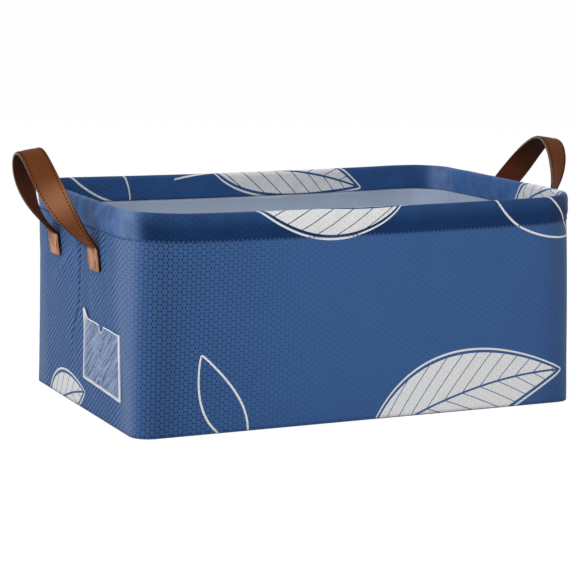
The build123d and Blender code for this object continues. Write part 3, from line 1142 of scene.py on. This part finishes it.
class STORAGE_BIN_OT_handles(Operator):
    """Makes the two leather straps with their sewn ends and stitching"""

    bl_idname = "storage_bin.handles"
    bl_label = "Leather handles"

    def execute(self, context):
        handle = context.scene.bin_handle
        leather = finished_leather()
        edge = backing_leather("painted_edge", handle.edge, 0.6, False)
        back = backing_leather("split_leather", handle.back, 0.75, True)
        thread = sewing_thread("strap_thread", handle.thread)
        for side, (sign, lean, leg_highlight) in STRAPS.items():
            strap = finished(self.strap(sign, lean, leg_highlight), f"{side}_strap", leather, edge, back)
            smooth = strap.modifiers.new("smooth", "SUBSURF")
            smooth.levels = 1
            smooth.render_levels = 1
            rows = finished(self.rows(sign, lean, handle), f"{side}_strap_stitches", thread)
            hinge = -sign * HINGE
            for piece in (strap, rows):
                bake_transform(piece, "rim", f"{side}_handle", start=(hinge, 0, BEND_FROM), end=(hinge, 0, BEND_TO))
            plies = (f"{side}_handle_face", f"{side}_handle_backing")
            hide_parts(*plies, f"{side}_front_tab", f"{side}_rear_tab")
        return {"FINISHED"}

    def strap(self, sign, lean, leg_highlight):
        """Strap from one sewn end over the arch to the other, with face, edge and backing materials."""
        places = strap_places(*STRAP_STEPS, lean)
        last = len(places) - 1
        far = [0.0]
        for before, after in zip(places, places[1:]):
            far.append(far[-1] + (after[0] - before[0]).length)
        bm, (sewn, low, painted_light) = new_grid(last, STRAP_ROUND, "sewn", "low", "painted_light")

        def step_of(vert):
            return round((vert.co.x + 0.5) * last)

        lay_flat(bm, lambda vert: ((vert.co.y + 0.5) * 2 * (STRAP_WIDTH + STRAP), far[step_of(vert)]))
        for face in bm.faces:
            turn = 2 * pi * (face.calc_center_median().y + 0.5)
            level = strap_section(turn, STRAP_WIDTH / 2)[1] / STRAP
            face.material_index = 0 if level < 0.2 else 2 if level > 0.8 else 1
        for vert in bm.verts:
            step = step_of(vert)
            point, wide, deep, half, worn, near = places[step]
            left = min(far[step], far[last] - far[step])
            if left < TAB_CORNER:
                half -= TAB_CORNER - sqrt(TAB_CORNER**2 - (TAB_CORNER - left) ** 2)
            across, into = strap_section(2 * pi * (vert.co.y + 0.5), half)
            place = point + wide * across + deep * into
            crumple = noise.noise(Vector((place.y * 260 + place.z * 120, place.z * 110, 2.3)))
            place += deep * 0.0009 * crumple * worn * ease(into, STRAP * 0.6, 0)
            place.x *= sign
            vert.co = place
            vert[sewn] = worn
            vert[low] = near
            vert[painted_light] = leg_highlight
        bmesh.ops.remove_doubles(bm, verts=bm.verts, dist=1e-6)
        bmesh.ops.holes_fill(bm, edges=[edge for edge in bm.edges if edge.is_boundary], sides=0)
        bmesh.ops.recalc_face_normals(bm, faces=bm.faces)
        return bm

    def rows(self, sign, lean, handle):
        """Two rows of stitches along the strap's face, between its sewn ends."""
        places = strap_places(*STITCH_STEPS, lean)
        steps = [(after[0] - before[0], after) for before, after in zip(places, places[1:])]
        flip = Vector((sign, 1, 1))
        bm = bmesh.new()
        far = 0.0
        due = TAB_HEIGHT + handle.margin
        end = sum(step.length for step, place in steps) - TAB_HEIGHT - handle.margin
        for step, (point, wide, deep, half, *rest) in steps:
            far += step.length
            if far < due or far > end:
                continue
            due += handle.pitch
            along = (step.normalized() * flip).normalized()
            row = half - handle.margin
            for across in (-row, row):
                place = (point + wide * across + deep * 0.00005) * flip
                add_stitch(bm, place, along, (wide * flip).normalized(), handle.pitch * 0.66, STRAP_STITCH)
        bmesh.ops.recalc_face_normals(bm, faces=bm.faces)
        return bm


class STORAGE_BIN_OT_patches(Operator):
    """Sews a patch inside the end walls behind each strap end"""

    bl_idname = "storage_bin.patches"
    bl_label = "Strap patches"

    def execute(self, context):
        handle = context.scene.bin_handle
        # Cut from the coated lining material of the walls
        lining = bpy.data.materials["coated_lining"]
        thread = bpy.data.materials["hem_thread"]
        for side, sign in (("left", -1), ("right", 1)):
            for end, middle in (("front", FRONT_FOOT), ("rear", REAR_FOOT)):
                bm = self.patch(sign, middle, handle)
                piece = finished(bm, f"{side}_{end}_strap_patch", lining, thread)
                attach(piece, "rim")
                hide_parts(f"{side}_{end}_patch")
        return {"FINISHED"}

    def patch(self, sign, middle, handle):
        """Square of lining with puckered edges, a thickness, and the stitches that come through."""

        def settle(across, up, into):
            z = TAB_FOOT + up
            out = end_wall(z) - WALL - TAB_CLEARANCE - into
            return Vector((sign * out, middle + across, z))

        bm, _ = new_grid(*PATCH_MESH)
        lay_flat(bm, lambda vert: (vert.co.x * PATCH_WIDTH, vert.co.y * TAB_HEIGHT))
        for vert in bm.verts:
            across = vert.co.x * PATCH_WIDTH
            up = (vert.co.y + 0.5) * TAB_HEIGHT
            wave = 0.0002 + 0.0002 * noise.noise(Vector((across * 300, up * 300, middle * 40)))
            vert.co = settle(across, up, wave)
        inside = list(bm.faces)
        bmesh.ops.recalc_face_normals(bm, faces=inside)
        if inside[0].normal.x * sign > 0:
            bmesh.ops.reverse_faces(bm, faces=inside)
        bmesh.ops.solidify(bm, geom=inside, thickness=-PATCH + 0.0002)
        row = STRAP_WIDTH / 2 - handle.margin
        level = Vector((0, 1, 0))
        for across in (-row, row):
            for step in range(int(TAB_HEIGHT / handle.pitch)):
                place = settle(across, handle.pitch * (step + 0.7), PATCH + 0.0001)
                made = add_stitch(bm, place, UP, level, handle.pitch * 0.7, PATCH_STITCH)
                for face in {f for v in made for f in v.link_faces}:
                    face.material_index = 1
        return bm


class STORAGE_BIN_OT_label(Operator):
    """Sews the clear label pocket with its white edging on the left end"""

    bl_idname = "storage_bin.label"
    bl_label = "Label pocket"

    def execute(self, context):
        label = context.scene.bin_label
        film = finished(self.film(label), "label_film", clear_vinyl())
        thicken(film, LABEL_FILM)
        edging = finished(self.edging(label), "label_edging", white_vinyl())
        pieces = ((film, "label_window", "clear_film"), (edging, "label_border", "white_edging"))
        for piece, node, slot in pieces:
            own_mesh(piece)
            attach(piece, "bin")
            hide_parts(node)
        return {"FINISHED"}

    def loose(self, across, up):
        """How far the film is free of the wall: most at its rear top corner."""
        return ease(up, 0.72 * LABEL_HEIGHT, LABEL_HEIGHT) * ease(across, 0.012, 0.003)

    def settle(self, label, across, up, out):
        """Point on the left end wall, from the pocket's rear foot, with the loose corner standing up."""
        loose = self.loose(across, up)
        level = 1 - up / LABEL_HEIGHT
        rear = 1 - across / LABEL_WIDTH
        z = LABEL_FOOT + up + label.lift * loose**2 + (rear - 0.5) * (0.0021 + 0.0015 * level)
        out += 0.12 * label.lift * loose**2
        return Vector((-end_wall(z) - out, LABEL_REAR - across + 0.006 * level * rear, z))

    def film(self, label):
        """Film with a thumb notch in its top edge and its rear top corner standing up."""
        bm, (strained,) = new_grid(*FILM_MESH, "strained")
        notch = 0.7 * LABEL_NOTCH
        below = {}
        for vert in bm.verts:
            across = (vert.co.x + 0.5) * LABEL_WIDTH
            top = LABEL_HEIGHT
            off = abs(across - LABEL_WIDTH / 2)
            if off < notch:
                top -= LABEL_NOTCH * (1 - off / notch) ** 0.6
            up = (vert.co.y + 0.5) * top
            below[vert] = up - top
            side = min(across, LABEL_WIDTH - across)
            taped = min(side, up) < LABEL_BORDER * 0.9
            # Painted highlight on the lifted corner; white where taped
            vert[strained] = 1.0 if taped else self.loose(across, up)
            wave = 0.0005 * noise.noise(Vector((across * 60, up * 40, 5)))
            out = LABEL_BORDER_HEIGHT + LABEL_FILM + wave * ease(side, 0, 0.01)
            vert.co = self.settle(label, across, up, out)
        lay_flat(bm, lambda vert: (vert.co.y, below[vert]))
        bmesh.ops.recalc_face_normals(bm, faces=bm.faces)
        if sum(f.normal.x for f in bm.faces) > 0:
            bmesh.ops.reverse_faces(bm, faces=bm.faces)
        return bm

    def edging(self, label):
        """White tape on three sides of the pocket: a bevelled frame, open at the top."""
        tiny = 1e-6
        bm = bmesh.new()
        bmesh.ops.create_grid(bm, x_segments=1, y_segments=1, size=0.5)
        bmesh.ops.scale(bm, verts=bm.verts, vec=(LABEL_WIDTH, LABEL_HEIGHT, 1))
        tape = {"thickness": LABEL_BORDER, "use_boundary": True, "use_even_offset": True}
        bmesh.ops.inset_region(bm, faces=bm.faces, **tape)
        for vert in bm.verts:
            if abs(vert.co.y - (LABEL_HEIGHT / 2 - LABEL_BORDER)) < tiny:
                vert.co.y = LABEL_HEIGHT / 2
        middles = [(face, face.calc_center_median()) for face in bm.faces]
        spare = [face for face, middle in middles if abs(middle.x) < tiny and middle.y > -0.02]
        bmesh.ops.delete(bm, geom=spare, context="FACES")
        long_edges = [edge for edge in bm.edges if edge.calc_length() > 0.01]
        bmesh.ops.subdivide_edges(bm, edges=long_edges, cuts=EDGING_CUTS)
        raised = bmesh.ops.extrude_face_region(bm, geom=list(bm.faces))["geom"]
        top = [part for part in raised if isinstance(part, bmesh.types.BMVert)]
        bmesh.ops.translate(bm, verts=top, vec=(0, 0, LABEL_BORDER_HEIGHT))
        bmesh.ops.recalc_face_normals(bm, faces=bm.faces)
        sharp = [edge for edge in bm.edges if len(edge.link_faces) == 2 and edge.calc_face_angle() > 1]
        rounding = {"offset": 0.0003, "offset_type": "OFFSET", "segments": 2, "profile": 0.5}
        bmesh.ops.bevel(bm, geom=sharp, affect="EDGES", material=-1, **rounding)
        for vert in bm.verts:
            across = vert.co.x + LABEL_WIDTH / 2
            vert.co = self.settle(label, across, vert.co.y + LABEL_HEIGHT / 2, vert.co.z)
        bmesh.ops.recalc_face_normals(bm, faces=bm.faces)
        return bm


class STORAGE_BIN_OT_stage(Operator):
    """Sets the floor, lamps, room light and camera"""

    bl_idname = "storage_bin.stage"
    bl_label = "Stage"

    def execute(self, context):
        stage = context.scene.bin_stage
        bin_middle = (0, 0, 0.09)
        self.floor(stage)
        self.lamp("key_softbox", (-1.05, -1.3, 0.8), bin_middle, 1.0, stage.key)
        self.lamp("side_softbox", (-1.6, 0.1, 0.5), (-0.2, -0.05, 0.09), 0.7, stage.side)
        self.lamp("fill_softbox", (1.4, -1.1, 0.9), bin_middle, 1.0, stage.fill)
        self.lamp("top_softbox", (0.0, 0.1, 1.6), bin_middle, 1.2, stage.top)
        self.room(context.scene, stage)
        self.camera(context.scene, stage)
        context.scene.view_settings.view_transform = "Standard"
        return {"FINISHED"}

    def floor(self, stage):
        """Sheet of pale paper that keeps the bin's shadow but reads almost white."""
        material, tree, shader = new_material("backdrop_paper")
        place = add(tree, "TexCoord").outputs["Object"]
        tooth = add(tree, "TexNoise", {"Vector": place, "Scale": 600.0, "Detail": 2.0})
        rough = add(tree, "MapRange", {"Value": tooth, "To Min": 0.85, "To Max": 1.0})
        join(shader, {"Base Color": stage.floor, "Roughness": rough, "Specular IOR Level": 0.0})
        seen = add(tree, "LightPath").outputs["Is Camera Ray"]
        glow = add(tree, "Emission", {"Color": (1, 1, 1), "Strength": 1.25})
        share = add(tree, "Math", (seen, 0.7), operation="MULTIPLY")
        paper = add(tree, "MixShader", (share, shader, glow))
        join(tree.nodes["Material Output"], {"Surface": paper})
        bm = bmesh.new()
        bmesh.ops.create_grid(bm, x_segments=12, y_segments=12, size=25)
        floor = finished(bm, "floor", material)

    def lamp(self, name, place, aim, size, power):
        """Square softbox that faces a point."""
        light = bpy.data.lights.new(name, "AREA")
        light.energy = power
        light.size = size
        lamp = bpy.data.objects.new(name, light)
        lamp.location = place
        lamp.rotation_euler = (Vector(aim) - Vector(place)).to_track_quat("-Z", "Y").to_euler()
        bpy.context.scene.collection.objects.link(lamp)

    def room(self, scene, stage):
        """Even light from all round, with a white background for the camera and for reflections."""
        scene.world = bpy.data.worlds.new("white_room")
        scene.world.use_nodes = True
        tree = scene.world.node_tree
        tree.nodes.clear()
        rays = add(tree, "LightPath").outputs
        direct = add(tree, "Math", (rays["Is Camera Ray"], rays["Is Glossy Ray"]), operation="ADD")
        through = (direct, rays["Is Transmission Ray"])
        shown = add(tree, "Math", through, operation="ADD", use_clamp=True)
        light = add(tree, "Background", {"Color": (1, 1, 1), "Strength": stage.sky})
        white = add(tree, "Background", {"Color": (1, 1, 1), "Strength": 1.0})
        mixed = add(tree, "MixShader", (shown, light, white))
        add(tree, "OutputWorld", {"Surface": mixed}, is_active_output=True)

    def camera(self, scene, stage):
        """Long lens from the front left, a little above the rim."""
        yaw = radians(-24.93)
        pitch = radians(9.24)
        roll = 0.0122
        shift_side = -0.00569
        shift_top = -0.00062
        back = Vector((sin(yaw) * cos(pitch), -cos(yaw) * cos(pitch), sin(pitch)))
        right = Vector((cos(yaw), sin(yaw), 0))
        up = back.cross(right)
        side = right * cos(roll) + up * sin(roll)
        top = up * cos(roll) - right * sin(roll)
        aim = (shift_side * side + shift_top * top - back).normalized()
        side = (side - aim * side.dot(aim)).normalized()
        top = side.cross(aim)
        camera = bpy.data.objects.new("camera", bpy.data.cameras.new("camera"))
        camera.data.lens = stage.lens
        camera.data.sensor_width = 36
        place = Matrix((side, top, -aim)).transposed().to_4x4()
        place.translation = (-0.746877, -1.607027, 0.378322)
        camera.matrix_world = place
        scene.collection.objects.link(camera)
        scene.camera = camera


class STORAGE_BIN_PT_panel(Panel):
    """Lists the bin's settings and the steps that build it"""

    bl_label = "Storage Bin"
    bl_idname = "STORAGE_BIN_PT_panel"
    bl_space_type = "VIEW_3D"
    bl_region_type = "UI"
    bl_category = "Storage Bin"

    def draw(self, context):
        for group in SETTINGS:
            settings = getattr(context.scene, group)
            box = self.layout.box()
            for name in settings.__annotations__:
                box.prop(settings, name)
        for operator in OPERATORS:
            self.layout.operator(operator.bl_idname)


OPERATORS = (
    STORAGE_BIN_OT_walls,
    STORAGE_BIN_OT_linings,
    STORAGE_BIN_OT_hem,
    STORAGE_BIN_OT_base,
    STORAGE_BIN_OT_handles,
    STORAGE_BIN_OT_patches,
    STORAGE_BIN_OT_label,
    STORAGE_BIN_OT_stage,
)
SETTINGS = {
    "bin_cloth": BinClothSettings,
    "bin_handle": BinHandleSettings,
    "bin_label": BinLabelSettings,
    "bin_stage": BinStageSettings,
}
CLASSES = (*SETTINGS.values(), *OPERATORS, STORAGE_BIN_PT_panel)


def register():
    for kind in CLASSES:
        bpy.utils.register_class(kind)
    for name, group in SETTINGS.items():
        setattr(bpy.types.Scene, name, PointerProperty(type=group))


def unregister():
    for name in SETTINGS:
        delattr(bpy.types.Scene, name)
    for kind in reversed(CLASSES):
        bpy.utils.unregister_class(kind)


def main():
    register()
    bpy.ops.storage_bin.walls()
    bpy.ops.storage_bin.linings()
    bpy.ops.storage_bin.hem()
    bpy.ops.storage_bin.base()
    bpy.ops.storage_bin.handles()
    bpy.ops.storage_bin.patches()
    bpy.ops.storage_bin.label()
    bpy.ops.storage_bin.stage()


if __name__ == "__main__":
    main()
